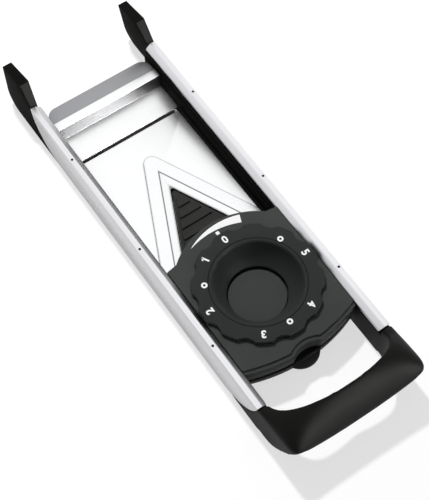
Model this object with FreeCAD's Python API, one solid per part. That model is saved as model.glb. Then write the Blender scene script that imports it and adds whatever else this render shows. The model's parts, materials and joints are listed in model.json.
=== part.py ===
import FreeCAD, Part
import math
import os

# Mandoline slicer lying underside up, as it is stored on a table.
# X runs across the rails, Y runs along them towards the far feet, Z is up.
# The origin is on the table plane, midway between and along the rails.
# All sizes are millimetres and degrees.

# Rails
rail_length = 314.0
outer_width = 118.0
rail_height = 35.4
rail_top_width = 8.7
flat_facet_width = 4.4
facet_drop = 3.7
rail_skirt_wall = 1.6
rail_top_wall = 1.9
near_round_extra = 10.6
far_round_extra = 2.0

# Rail pins
rail_pin_radius = 0.9
rail_pin_length = 7.0
rail_pin_share = 0.309

# Beams inside the rails
beam_ledge = 1.8
beam_ridge_height = 21.0
beam_ridge_chamfer = 1.1
beam_end_margin = 4.0
wall_gap = 0.1
plate_lip_reach = 2.4
plate_lip_height = 1.6

# Far feet
foot_reach = 41.4
foot_rise = 15.6
foot_crest_offset = 14.0
foot_tip_drop = 5.6
foot_toe_radius = 15.0
foot_root_height = 33.0
foot_inner_taper = 6.0
pad_thickness = 1.6
pad_inset = 0.7

# Handle bow
arm_inner_inset = 0.3
arm_tongue_length = 24.0
arm_tongue_wall = 2.2
arm_tongue_height = 16.0
arm_tongue_base = 8.0
arm_tongue_inset = 1.8
bow_reach = 44.0
bow_inner_reach = 24.5
bow_outer_squareness = 13.0
bow_inner_squareness = 2.6
bow_crest_height = 57.0
bow_crest_ease = 1.4
bow_front_height = 33.0
bow_front_lower = 28.0
bow_corner_rise = 8.0
bow_lower_corner_rise = 11.5
bow_corner_sharpness = 3.0
bow_shoulder_ease = 1.5
bow_underside_start = 12.0
bow_underside_ease = 1.6
bow_bulge = 2.2
bow_outer_stations = (0.0, 0.2, 0.4, 0.58, 0.73, 0.85, 0.935, 0.98, 0.996, 1.0)
bow_inner_stations = (0.0, 0.19, 0.36, 0.49, 0.6, 0.71, 0.81, 0.89, 0.96, 1.0)

# Receiving plates
plate_top = 10.0
plate_thickness = 1.5
plate_groove_depth = 1.8
end_fold_inset = 24.8
end_plate_length = 27.0
slot_width = 3.2
end_fold_lean = 1.5
end_fold_top = 22.8
end_strip_width = 7.9
end_ear_length = 12.0
end_ear_wall = 1.5
end_ear_lift = 1.0
lip_thickness = 1.6
lip_corner_radius = 9.0
lip_far_inset = 1.0

# V blade
v_half_angle = 25.0
v_leg_offset = 21.85
blade_width = 17.5
blade_bevel_width = 6.7
blade_thickness = 1.2
blade_tip_radius = 6.8
edge_tip_radius = 2.0
edge_thickness = 0.25

# Dial
dial_offset = 5.0
dial_top = 36.6
dial_flange_thickness = 3.9
dial_side_gap = 0.6
dial_face_width = 14.3
dial_lobes = 12
dial_notch_depth = 2.8
dial_notch_radius = 10.0
bowl_rim_step = 1.2
bowl_waist_inset = 4.4
bowl_waist_drop = 9.4
bowl_opening_inset = 12.0
bowl_opening_land = 0.8
bowl_wall = 2.2
hub_lift_clearance = 0.5
dial_last_step = 10

# Bridge
bridge_top = 32.3
bridge_thickness = 3.0
bridge_side_gap = 0.3
bridge_arc_margin = 13.5
bridge_shoulder_width = 9.0
bridge_shoulder_drop = 1.4
bridge_near_margin = 13.3
bridge_near_sag = 9.0
bridge_thumb_radius = 20.0
bridge_thumb_depth = 4.6
bridge_ledge_width = 3.0
bridge_ledge_drop = 1.8
bridge_skirt_wall = 2.4
bridge_skirt_base = 20.0
bridge_cheek_wall = 2.7
bridge_cheek_base = 18.5
cheek_near_reach = 30.5
cheek_far_reach = 39.5

# Ramp
ramp_base = 8.7
ramp_skin = 2.0
ramp_travel = 5.0
ramp_edge_gap = 1.0
ramp_border_width = 2.6
ramp_border_skin = 0.8
ramp_side_gap = 0.7
ramp_near_inset = 0.6
ramp_rim_height = 3.0
ramp_rim_wall = 2.0
ramp_rib_height = 1.4
ramp_rib_wall = 1.2
ramp_rib_pitch = 9.0
ramp_rib_count = 5
tab_half_width = 12.5
tab_reach = 6.5
tab_thickness = 2.6
collar_wall = 3.6
collar_gap = 0.6
collar_height = 11.7
pedestal_height = 3.1
pedestal_gap = 1.0

# Cam groove and follower
groove_width = 3.0
groove_depth = 1.6
groove_run_out = 4.0
follower_radius = 1.3
follower_height = 19.6
follower_tip_gap = 0.4

# Guide pins and bushes
guide_radius = 2.0
guide_top = 26.0
guide_running_gap = 0.08
guide_boss_radius = 4.0
guide_boss_height = 3.5
bush_wall = 1.3
bush_base = 21.0
bush_boss_wall = 1.6
bush_bore_top = 31.3
front_guide_inset = 5.07
front_guide_margin = 11.7
rear_guide_inset = 7.8
rear_guide_reach = 38.5

# Dial retention and detent
bore_gap = 0.4
washer_width = 2.4
washer_thickness = 0.35
ring_thickness = 1.1
ring_reach = 4.0
ring_seat_depth = 1.3
ring_gap_width = 6.0
ring_clearance = 0.2
detent_inset = 5.9
detent_leaf_length = 18.0
detent_leaf_width = 4.6
detent_leaf_thickness = 0.5
detent_nub_radius = 1.1
detent_pocket_depth = 1.6
detent_rivet_radius = 0.8
detent_rivet_head = 1.9

# Screws
screw_radius = 1.5
screw_head_radius = 3.0
screw_head_height = 2.0
screw_hole_gap = 0.05
screw_tip_margin = 0.5
bridge_screw_inset = 10.0
bridge_screw_height = 24.0
end_screw_height = 15.5
handle_screw_inset = 12.0

# Values worked out from the sizes above
half_width = outer_width / 2
half_length = rail_length / 2
rail_pin_pitch = rail_length * rail_pin_share
rail_inner_x = half_width - rail_top_width
facet_x = half_width - flat_facet_width
skirt_inner_x = half_width - rail_skirt_wall
lip_wall = rail_top_wall * math.hypot(1.0, facet_drop / (facet_x - rail_inner_x))
rail_lip_base = rail_height - facet_drop - lip_wall
near_round = rail_height + near_round_extra
far_round = rail_height + far_round_extra
beam_x = rail_inner_x - beam_ledge
beam_outer_x = skirt_inner_x - wall_gap
foot_tip_y = half_length + foot_reach
foot_crest_y = half_length + foot_crest_offset
foot_crest_z = rail_height + foot_rise
foot_root_y = half_length + wall_gap
arm_inner_x = rail_inner_x - arm_inner_inset
arm_near_y = -half_length - wall_gap
dial_y = dial_offset - rail_length / 4
dial_base = dial_top - dial_flange_thickness
dial_lobe_radius = rail_inner_x - dial_side_gap
bowl_rim_radius = dial_lobe_radius - dial_face_width
bowl_waist_radius = bowl_rim_radius - bowl_waist_inset
bowl_opening_radius = bowl_rim_radius - bowl_opening_inset
hub_radius = bowl_rim_radius + bowl_wall
detent_radius = dial_lobe_radius - detent_inset
plate_base = plate_top - plate_thickness
end_fold_y = half_length - end_fold_inset
slot_y = end_fold_y - end_plate_length
v_tan = math.tan(math.radians(v_half_angle))
v_sin = math.sin(math.radians(v_half_angle))
blade_half = beam_x - plate_lip_reach - wall_gap
plate_leg_end = dial_y + v_leg_offset
v_edge_apex_y = plate_leg_end + blade_half / v_tan
bridge_base = bridge_top - bridge_thickness
bridge_half = rail_inner_x - bridge_side_gap
bridge_skirt_half = bridge_half - wall_gap
bridge_ledge = bridge_top - bridge_ledge_drop
bridge_arc_radius = dial_lobe_radius + bridge_arc_margin
bridge_arc_half = bridge_half - bridge_shoulder_width
bridge_arc_end_y = dial_y + math.sqrt(bridge_arc_radius ** 2 - bridge_arc_half ** 2)
bridge_shoulder_y = bridge_arc_end_y - bridge_shoulder_drop
bridge_near_y = dial_y - dial_lobe_radius - bridge_near_margin
bridge_bore = hub_radius + bore_gap
cheek_outer_x = beam_x - wall_gap
cheek_inner_x = cheek_outer_x - bridge_cheek_wall
cheek_near_end = dial_y - cheek_near_reach
cheek_far_end = dial_y + cheek_far_reach
beam_near_end = cheek_near_end - beam_end_margin
ramp_half = beam_x - ramp_side_gap
ramp_top = ramp_base + ramp_skin
ramp_near_y = bridge_near_y + ramp_near_inset
hub_base = ramp_top + ramp_travel + hub_lift_clearance
front_guide_y = dial_y + bridge_arc_radius - front_guide_margin
front_guide_x = (v_edge_apex_y - ramp_edge_gap / v_sin - front_guide_y) * v_tan - front_guide_inset
rear_guide_x = ramp_half - rear_guide_inset
rear_guide_y = dial_y - rear_guide_reach
step_angle = 360.0 / dial_lobes
dial_range = dial_last_step * step_angle
cam_pitch = ramp_travel * 360.0 / dial_range
screw_head_x = beam_outer_x - wall_gap
bridge_screw_tip = cheek_inner_x + screw_tip_margin
bridge_screw_ys = (cheek_near_end + bridge_screw_inset, cheek_far_end - bridge_screw_inset)
end_ear_y = end_fold_y + end_fold_lean
end_screw_y = end_ear_y + end_ear_length / 2
end_screw_tip = cheek_outer_x - end_ear_wall - screw_tip_margin
tongue_x0 = arm_inner_x + arm_tongue_inset
tongue_x1 = tongue_x0 + arm_tongue_wall
tongue_end_y = beam_near_end - arm_tongue_length
handle_screw_y = beam_near_end - handle_screw_inset
handle_screw_z = arm_tongue_base + arm_tongue_height / 2
far_margin = 2 * rail_length
cut_margin = 1.0
touch = 0.001

os.makedirs("parts", exist_ok=True)


def vec(x, y, z):
    return FreeCAD.Vector(x, y, z)


def box(x0, x1, y0, y1, z0, z1):
    return Part.makeBox(x1 - x0, y1 - y0, z1 - z0, vec(x0, y0, z0))


def solid_from(points, push):
    """Straight-sided solid: a closed outline of points pushed along a vector."""
    wire = Part.makePolygon(points + [points[0]])
    return Part.Face(wire).extrude(push)


def prism_x(yz_points, x0, x1):
    points = [vec(x0, y, z) for y, z in yz_points]
    return solid_from(points, vec(x1 - x0, 0, 0))


def prism_y(xz_points, y0, y1):
    points = [vec(x, y0, z) for x, z in xz_points]
    return solid_from(points, vec(0, y1 - y0, 0))


def prism_z(xy_points, z0, z1):
    points = [vec(x, y, z0) for x, y in xy_points]
    return solid_from(points, vec(0, 0, z1 - z0))


def post(radius, x, y, z0, z1):
    return Part.makeCylinder(radius, z1 - z0, vec(x, y, z0))


def bar_x(radius, x0, x1, y, z):
    """Round bar along X between two places."""
    direction = 1 if x1 > x0 else -1
    return Part.makeCylinder(radius, abs(x1 - x0), vec(x0, y, z), vec(direction, 0, 0))


def ring(outer, inner, x, y, z0, z1):
    return post(outer, x, y, z0, z1).cut(post(inner, x, y, z0, z1))


def mirrored(shape):
    return shape.mirror(vec(0, 0, 0), vec(1, 0, 0))


def both_sides(shape):
    return [shape, mirrored(shape)]


def arc_segment(first, middle, last):
    return Part.Arc(first, middle, last).toShape()


def line_segment(first, last):
    return Part.LineSegment(first, last).toShape()


def extrude_edges(edges, push):
    return Part.Face(Part.Wire(edges)).extrude(push)


def vertical_edges(shape, x, y):
    """Upright edges of a shape that stand at one place of the plan."""
    found = []
    for edge in shape.Edges:
        first = edge.Vertexes[0].Point
        last = edge.Vertexes[-1].Point
        upright = math.hypot(first.x - last.x, first.y - last.y) < touch
        near = math.hypot(first.x - x, first.y - y) < touch
        if upright and near and abs(first.z - last.z) > touch:
            found.append(edge)
    return found


def skirt_prism(grow, x0, x1):
    """Side outline of a rail: straight top, quarter-round near and far ends."""
    top = rail_height + grow
    near_centre = -half_length + near_round
    far_centre = half_length - far_round
    near_radius = near_round + grow
    far_radius = far_round + grow
    near_top = near_centre - math.sqrt(near_radius ** 2 - (top - near_round) ** 2)
    far_top = far_centre + math.sqrt(far_radius ** 2 - (top - far_round) ** 2)
    near_mid = vec(x0, near_centre - near_radius * math.sqrt(0.5), near_round - near_radius * math.sqrt(0.5))
    far_mid = vec(x0, far_centre + far_radius * math.sqrt(0.5), far_round - far_radius * math.sqrt(0.5))
    near_foot = vec(x0, near_centre, -grow)
    far_foot = vec(x0, far_centre, -grow)
    edges = [
        line_segment(vec(x0, near_top, top), vec(x0, far_top, top)),
        arc_segment(vec(x0, far_top, top), far_mid, far_foot),
        line_segment(far_foot, near_foot),
        arc_segment(near_foot, near_mid, vec(x0, near_top, top)),
    ]
    return extrude_edges(edges, vec(x1 - x0, 0, 0))


def make_rail():
    profile = [
        (half_width, 0),
        (half_width, rail_height),
        (facet_x, rail_height),
        (rail_inner_x, rail_height - facet_drop),
        (rail_inner_x, rail_lip_base),
        (facet_x, rail_height - rail_top_wall),
        (skirt_inner_x, rail_height - rail_top_wall),
        (skirt_inner_x, 0),
    ]
    bar = prism_y(profile, -half_length, half_length)
    rail = bar.common(skirt_prism(0, rail_inner_x, half_width))
    for pin_hole in pin_places(rail_pin_radius + wall_gap / 2):
        rail = rail.cut(pin_hole)
    return rail


def pin_places(radius):
    """Three pins through the flat top facet of the right rail."""
    pin_x = (half_width + facet_x) / 2
    pins = []
    for step in (-1, 0, 1):
        pin_y = step * rail_pin_pitch
        pins.append(post(radius, pin_x, pin_y, rail_height - rail_pin_length, rail_height))
    return pins


def screw_x(tip_x, head_x, y, z):
    """Screw along X: the head's outer face is at head_x and the tip at tip_x."""
    inward = -1 if head_x > tip_x else 1
    head_seat = head_x + inward * screw_head_height
    head = bar_x(screw_head_radius, head_x, head_seat, y, z)
    shank = bar_x(screw_radius, head_seat, tip_x, y, z)
    return head.fuse(shank).removeSplitter()


def screw_hole_x(tip_x, head_x, y, z):
    """Room for a screw along X, with its head recess open on the outside."""
    head_seat = head_x - screw_head_height
    recess = bar_x(screw_head_radius + wall_gap, head_x + far_margin, head_seat - screw_hole_gap, y, z)
    shank = bar_x(screw_radius + screw_hole_gap, head_x, tip_x - screw_tip_margin / 2, y, z)
    return recess.fuse(shank)


def foot_outline():
    """Side outline of a far foot."""
    toe_x = foot_tip_y - foot_toe_radius
    toe_mid = foot_toe_radius * (1 - math.sqrt(0.5))
    start_y = half_length - far_round
    x0 = rail_inner_x
    heel = vec(x0, start_y, 0)
    toe = vec(x0, toe_x, 0)
    toe_top = vec(x0, foot_tip_y, foot_toe_radius)
    tip = vec(x0, foot_tip_y, foot_crest_z - foot_tip_drop)
    crest = vec(x0, foot_crest_y, foot_crest_z)
    root = vec(x0, foot_root_y, foot_root_height)
    root_low = vec(x0, foot_root_y, rail_lip_base - wall_gap)
    inner = vec(x0, start_y, rail_lip_base - wall_gap)
    return [
        line_segment(heel, toe),
        arc_segment(toe, vec(x0, foot_tip_y - toe_mid, toe_mid), toe_top),
        line_segment(toe_top, tip),
        line_segment(tip, crest),
        line_segment(crest, root),
        line_segment(root, root_low),
        line_segment(root_low, inner),
        line_segment(inner, heel),
    ]


def make_beam():
    """Right beam: the bar inside the rail and the foot at its far end."""
    profile = [
        (beam_x, 0),
        (beam_x, beam_ridge_height),
        (beam_x + beam_ridge_chamfer, beam_ridge_height + beam_ridge_chamfer),
        (beam_x + beam_ridge_chamfer, rail_lip_base - wall_gap),
        (rail_inner_x, rail_lip_base - wall_gap),
        (facet_x, rail_height - rail_top_wall - wall_gap),
        (beam_outer_x, rail_height - rail_top_wall - wall_gap),
        (beam_outer_x, 0),
    ]
    bar = prism_y(profile, beam_near_end, half_length)
    foot = extrude_edges(foot_outline(), vec(rail_top_width, 0, 0))
    foot = foot.cut(foot_taper(0)).cut(make_foot_pad())
    foot = foot.cut(skirt_prism(wall_gap, beam_outer_x, half_width + wall_gap))
    beam = bar.fuse(foot).removeSplitter()
    plate_lip = box(beam_x - plate_lip_reach, beam_x, plate_leg_end, slot_y, plate_top + wall_gap,
                    plate_top + plate_lip_height)
    beam = beam.fuse(plate_lip).removeSplitter()
    groove = box(beam_x - wall_gap, beam_x + plate_groove_depth + wall_gap, plate_leg_end - wall_gap,
                 end_fold_y + end_fold_lean, plate_base - wall_gap, plate_top + wall_gap)
    beam = beam.cut(groove)
    tongue = box(tongue_x0, tongue_x1, tongue_end_y, beam_near_end, arm_tongue_base,
                 arm_tongue_base + arm_tongue_height)
    beam = beam.fuse(tongue).removeSplitter()
    for screw_y in bridge_screw_ys:
        beam = beam.cut(screw_hole_x(bridge_screw_tip, screw_head_x, screw_y, bridge_screw_height))
    beam = beam.cut(screw_hole_x(end_screw_tip, screw_head_x, end_screw_y, end_screw_height))
    beam = beam.cut(screw_hole_x(tongue_x0, screw_head_x, handle_screw_y, handle_screw_z))
    for pin_hole in pin_places(rail_pin_radius + wall_gap / 2):
        beam = beam.cut(pin_hole)
    return beam


def foot_taper(shift):
    """Wedge that slants the inner side of a foot, shifted outwards."""
    side_x = rail_inner_x - cut_margin
    corners = [
        (side_x, foot_crest_z),
        (rail_inner_x + shift, foot_crest_z),
        (rail_inner_x + shift + foot_inner_taper, 0),
        (side_x, 0),
    ]
    return prism_y(corners, half_length, foot_tip_y)


def make_foot_pad():
    """Soft pad let into the slanted face of the right far foot that rises from the rail's end."""
    run = foot_crest_y - foot_root_y
    rise = foot_crest_z - foot_root_height
    slant = math.hypot(run, rise)
    along_y = run / slant
    along_z = rise / slant
    low_y = foot_root_y + along_y * pad_inset
    low_z = foot_root_height + along_z * pad_inset
    high_y = foot_crest_y - along_y * pad_inset
    high_z = foot_crest_z - along_z * pad_inset
    deep_y = along_z * pad_thickness
    deep_z = along_y * pad_thickness
    outline = [
        (low_y, low_z),
        (high_y, high_z),
        (high_y + deep_y, high_z - deep_z),
        (low_y + deep_y, low_z - deep_z),
    ]
    return prism_x(outline, rail_inner_x, half_width - pad_inset).cut(foot_taper(pad_inset))


def bow_section(inner, outer, crest, shoulder, low):
    """Cross-section of the bow: bulged outer face, flat back and underside."""
    top_in = vec(inner[0], inner[1], crest)
    top_out = vec(outer[0], outer[1], shoulder)
    low_out = vec(outer[0], outer[1], low)
    low_in = vec(inner[0], inner[1], low)
    middle = (top_in + top_out) * 0.5
    across = vec(outer[0] - inner[0], outer[1] - inner[1], 0)
    away = across.normalize() * bow_bulge + vec(0, 0, bow_bulge)
    return Part.Wire([
        arc_segment(top_in, middle + away, top_out),
        line_segment(top_out, low_out),
        line_segment(low_out, low_in),
        line_segment(low_in, top_in),
    ])


def bow_path(half, reach, squareness, share):
    """Point of a squared-off half round, at a share of its reach in front of the rails."""
    across = half * (1 - share ** squareness) ** (1 / squareness)
    return across, share * reach


def bow_station(outer_share, inner_share, side):
    """Cross-section of the bow, from share 0 at a rail's end to 1 at the grip's middle."""
    inner_x, inner_run = bow_path(arm_inner_x, bow_inner_reach, bow_inner_squareness, inner_share)
    outer_x, outer_run = bow_path(half_width, bow_reach, bow_outer_squareness, outer_share)
    climb = 1 - (1 - inner_share) ** bow_crest_ease
    crest = foot_root_height + (bow_crest_height - foot_root_height) * climb
    corner = (outer_x / half_width) ** bow_corner_sharpness
    rail_end = rail_height - wall_gap
    shoulder_rise = bow_front_height + bow_corner_rise * corner - rail_end
    shoulder = rail_end + shoulder_rise * outer_share ** bow_shoulder_ease
    lift = max(0.0, (outer_run - bow_underside_start) / (bow_reach - bow_underside_start))
    low = (bow_front_lower + bow_lower_corner_rise * corner) * lift ** bow_underside_ease
    inner = (side * inner_x, arm_near_y - inner_run)
    outer = (side * outer_x, arm_near_y - outer_run)
    return bow_section(inner, outer, crest, shoulder, low)


def make_bow_grip():
    """The bow in front of the rails, lofted through its cross-sections and flush with the rails' sides."""
    shares = list(zip(bow_outer_stations, bow_inner_stations))
    right = [bow_station(outer_share, inner_share, 1) for outer_share, inner_share in shares]
    left = [bow_station(outer_share, inner_share, -1) for outer_share, inner_share in reversed(shares[:-1])]
    bow = Part.makeLoft(right + left, True, False)
    room = box(-half_width, half_width, arm_near_y - far_margin, arm_near_y, 0, far_margin)
    return bow.common(room)


def make_handle():
    profile = [
        (arm_inner_x, 0),
        (arm_inner_x, rail_lip_base - wall_gap),
        (rail_inner_x, rail_lip_base - wall_gap),
        (facet_x, rail_height - rail_top_wall - wall_gap),
        (half_width, rail_height - rail_top_wall - wall_gap),
        (half_width, 0),
    ]
    arm = prism_y(profile, arm_near_y, beam_near_end - wall_gap)
    arm = arm.cut(skirt_prism(wall_gap, beam_outer_x, half_width + wall_gap))
    socket = box(tongue_x0 - wall_gap, tongue_x1 + wall_gap, tongue_end_y - wall_gap, beam_near_end,
                 arm_tongue_base - wall_gap, arm_tongue_base + arm_tongue_height + wall_gap)
    arm = arm.cut(socket)
    arm = arm.cut(screw_hole_x(tongue_x0, screw_head_x, handle_screw_y, handle_screw_z))
    handle = make_bow_grip()
    for side in both_sides(arm):
        handle = handle.fuse(side)
    return handle.removeSplitter()


def v_outline(offset, end_y, side_limit):
    """V-shaped plan outline, offset outwards from the cutting edges."""
    apex_y = v_edge_apex_y + offset / v_sin
    reach_x = min(side_limit, (apex_y - end_y) * v_tan)
    corner_y = apex_y - reach_x / v_tan
    right = [(reach_x, corner_y)]
    if corner_y > end_y:
        right.append((reach_x, end_y))
    left = [(-x, y) for x, y in reversed(right)]
    return [(0, apex_y)] + right + left


def v_prism(offset, end_y, side_limit, z0, z1, tip_radius):
    apex_y = v_edge_apex_y + offset / v_sin
    shape = prism_z(v_outline(offset, end_y, side_limit), z0, z1)
    return shape.makeFillet(tip_radius, vertical_edges(shape, 0, apex_y))


def make_blade_plate():
    plate_half = beam_x + plate_groove_depth
    plate = box(-plate_half, plate_half, plate_leg_end, slot_y - slot_width / 2, plate_base, plate_top)
    window = v_prism(blade_bevel_width, plate_leg_end - wall_gap, plate_half + far_margin,
                     plate_base - wall_gap, plate_top + wall_gap, edge_tip_radius)
    leg_limit = box(-beam_x + ramp_side_gap, beam_x - ramp_side_gap, plate_leg_end - wall_gap,
                    slot_y, plate_base - wall_gap, plate_top + wall_gap)
    return plate.cut(window.common(leg_limit))


def make_v_blade():
    """Flat V with its inner margins ground to a thin edge."""
    z0 = plate_top
    z1 = plate_top + blade_thickness
    blade = v_prism(blade_width, plate_leg_end, blade_half, z0, z1, blade_tip_radius)
    opening = v_prism(0, plate_leg_end - wall_gap, far_margin, z0 - wall_gap, z1 + wall_gap, edge_tip_radius)
    blade = blade.cut(opening)
    bevel_apex = v_edge_apex_y + blade_bevel_width / v_sin
    slope = math.degrees(math.atan2(blade_thickness - edge_thickness, blade_bevel_width))
    grind = box(-far_margin, 0, -far_margin, far_margin, 0, far_margin)
    grind.rotate(vec(0, 0, 0), vec(0, 1, 0), -slope)
    grind.rotate(vec(0, 0, 0), vec(0, 0, 1), v_half_angle)
    grind.translate(vec(0, bevel_apex, z1))
    right_half = box(0, far_margin, plate_leg_end - wall_gap, far_margin, z0 - wall_gap, z1 + far_margin)
    for side in both_sides(grind.common(right_half)):
        blade = blade.cut(side)
    return blade


def make_end_plate():
    """Plate beyond the slot, folded up at its far end, with a top strip and two ears."""
    plate_half = beam_x + plate_groove_depth
    fold_half = beam_x - wall_gap
    top_y = end_fold_y + end_fold_lean
    plate = box(-plate_half, plate_half, slot_y + slot_width / 2, end_fold_y + plate_thickness,
                plate_base, plate_top)
    riser = prism_x([
        (end_fold_y, plate_base),
        (end_fold_y + plate_thickness, plate_base),
        (top_y + plate_thickness, end_fold_top),
        (top_y, end_fold_top),
    ], -fold_half, fold_half)
    strip = box(-fold_half, fold_half, top_y, top_y + end_strip_width, end_fold_top - plate_thickness,
                end_fold_top)
    body = plate.fuse(riser).fuse(strip)
    lip_base = end_fold_top - plate_thickness - lip_thickness
    ear = box(fold_half - end_ear_wall, fold_half, end_ear_y, end_ear_y + end_ear_length,
              plate_top + end_ear_lift, lip_base - wall_gap)
    ear = ear.cut(bar_x(screw_radius + screw_hole_gap, 0, half_width, end_screw_y, end_screw_height))
    for side in both_sides(ear):
        body = body.fuse(side)
    return body.removeSplitter()


def make_end_lip():
    lip_half = beam_x - wall_gap
    near_y = end_fold_y + end_fold_lean + plate_thickness + wall_gap
    far_y = half_length - lip_far_inset
    top = end_fold_top - plate_thickness
    lip = box(-lip_half, lip_half, near_y, far_y, top - lip_thickness, top)
    corners = vertical_edges(lip, lip_half, far_y) + vertical_edges(lip, -lip_half, far_y)
    return lip.makeFillet(lip_corner_radius, corners)


def near_curve(near_y, half, far_y, z0, z1):
    """Plan shape between two rails whose near edge is a shallow arc."""
    corner_y = near_y + bridge_near_sag
    edges = [
        arc_segment(vec(-half, corner_y, z0), vec(0, near_y, z0), vec(half, corner_y, z0)),
        line_segment(vec(half, corner_y, z0), vec(half, far_y, z0)),
        line_segment(vec(half, far_y, z0), vec(-half, far_y, z0)),
        line_segment(vec(-half, far_y, z0), vec(-half, corner_y, z0)),
    ]
    return extrude_edges(edges, vec(0, 0, z1 - z0))


def bridge_near_part(inset, z0, z1):
    """Near part of the bridge's plan, with the thumb notch in its middle."""
    shape = near_curve(bridge_near_y + inset, bridge_half, dial_y, z0, z1)
    notch_y = bridge_near_y + bridge_thumb_depth - bridge_thumb_radius
    notch = post(bridge_thumb_radius + inset, 0, notch_y, z0 - cut_margin, z1 + cut_margin)
    return shape.cut(notch)


def bridge_far_part(z0, z1):
    """Far part of the bridge's plan: an arc around the dial and two shoulders."""
    right = vec(bridge_arc_half, bridge_arc_end_y, z0)
    left = vec(-bridge_arc_half, bridge_arc_end_y, z0)
    top = vec(0, dial_y + bridge_arc_radius, z0)
    edges = [
        arc_segment(right, top, left),
        line_segment(left, vec(-bridge_half, bridge_shoulder_y, z0)),
        line_segment(vec(-bridge_half, bridge_shoulder_y, z0), vec(-bridge_half, dial_y, z0)),
        line_segment(vec(-bridge_half, dial_y, z0), vec(bridge_half, dial_y, z0)),
        line_segment(vec(bridge_half, dial_y, z0), vec(bridge_half, bridge_shoulder_y, z0)),
        line_segment(vec(bridge_half, bridge_shoulder_y, z0), right),
    ]
    return extrude_edges(edges, vec(0, 0, z1 - z0))


def guide_places():
    return [
        (front_guide_x, front_guide_y),
        (-front_guide_x, front_guide_y),
        (rear_guide_x, rear_guide_y),
        (-rear_guide_x, rear_guide_y),
    ]


def detent_strip(grow, z0, z1):
    """Plan of the detent leaf, lying along a chord on the left of the dial."""
    near = dial_y - detent_leaf_length / 2 - grow
    far = dial_y + detent_leaf_length / 2 + grow
    inner = -detent_radius + detent_leaf_width / 2 + grow
    outer = -detent_radius - detent_leaf_width / 2 - grow
    return box(outer, inner, near, far, z0, z1)


def rivet_places():
    offset = detent_leaf_length / 2 - detent_leaf_width / 2
    return [(-detent_radius, dial_y - offset), (-detent_radius, dial_y + offset)]


def make_bridge():
    plate = bridge_far_part(bridge_base, bridge_top)
    plate = plate.fuse(bridge_near_part(0, bridge_base, bridge_ledge))
    plate = plate.fuse(bridge_near_part(bridge_ledge_width, bridge_ledge, bridge_top))
    skirt = bridge_near_part(0, bridge_skirt_base, bridge_base)
    skirt = skirt.cut(bridge_near_part(bridge_skirt_wall, bridge_skirt_base, bridge_base))
    skirt_room = box(-bridge_skirt_half, bridge_skirt_half, bridge_near_y, cheek_near_end, 0, bridge_top)
    bridge = plate.fuse(skirt.common(skirt_room))
    cheek = box(cheek_inner_x, cheek_outer_x, cheek_near_end, cheek_far_end, bridge_cheek_base, bridge_base)
    for side in both_sides(cheek):
        bridge = bridge.fuse(side)
    bush_radius = guide_radius + bush_wall
    for x, y in guide_places():
        bridge = bridge.fuse(post(bush_radius + bush_boss_wall, x, y, bush_base, bridge_base))
    bridge = bridge.removeSplitter()
    bridge = bridge.cut(post(bridge_bore, 0, dial_y, 0, far_margin))
    for x, y in guide_places():
        bridge = bridge.cut(post(bush_radius, x, y, bush_base, bridge_base))
        bridge = bridge.cut(post(guide_radius + bush_wall / 2, x, y, bridge_base, bush_bore_top))
    bridge = bridge.cut(detent_strip(wall_gap, bridge_top - detent_pocket_depth, bridge_top))
    for x, y in rivet_places():
        bridge = bridge.cut(post(detent_rivet_radius, x, y, bridge_base, bridge_top))
    for screw_y in bridge_screw_ys:
        hole = bar_x(screw_radius + screw_hole_gap, cheek_inner_x - cut_margin, half_width, screw_y,
                     bridge_screw_height)
        for side in both_sides(hole):
            bridge = bridge.cut(side)
    return bridge


def dial_blank():
    """Ring of the dial, turned about its axis: open bowl, hub and flange."""
    rim_low = vec(bowl_rim_radius - bowl_rim_step, 0, dial_top - bowl_rim_step)
    waist = vec(bowl_waist_radius, 0, dial_top - bowl_waist_drop)
    bowl_end = vec(bowl_opening_radius, 0, hub_base + bowl_opening_land)
    corners = [
        bowl_end,
        vec(bowl_opening_radius, 0, hub_base),
        vec(hub_radius, 0, hub_base),
        vec(hub_radius, 0, dial_base),
        vec(dial_lobe_radius, 0, dial_base),
        vec(dial_lobe_radius, 0, dial_top),
        vec(bowl_rim_radius, 0, dial_top),
        rim_low,
    ]
    edges = [line_segment(first, last) for first, last in zip(corners, corners[1:])]
    edges.append(arc_segment(rim_low, waist, bowl_end))
    return Part.Face(Part.Wire(edges)).revolve(vec(0, 0, 0), vec(0, 0, 1), 360)


def cam_groove():
    """Helical groove around the hub that lifts the follower as the dial turns."""
    turn = dial_range + 2 * groove_run_out
    rise = cam_pitch * turn / 360
    helix = Part.makeHelix(cam_pitch, rise, hub_radius)
    inner = hub_radius - groove_depth
    outer = hub_radius + groove_depth
    half = groove_width / 2
    profile = Part.makePolygon([
        vec(inner, 0, -half),
        vec(outer, 0, -half),
        vec(outer, 0, half),
        vec(inner, 0, half),
        vec(inner, 0, -half),
    ])
    groove = Part.Wire(helix.Edges).makePipeShell([profile], True, True)
    start_z = follower_height - cam_pitch * groove_run_out / 360
    groove.rotate(vec(0, 0, 0), vec(0, 0, 1), -90 - groove_run_out)
    groove.translate(vec(0, 0, start_z))
    return groove


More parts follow.
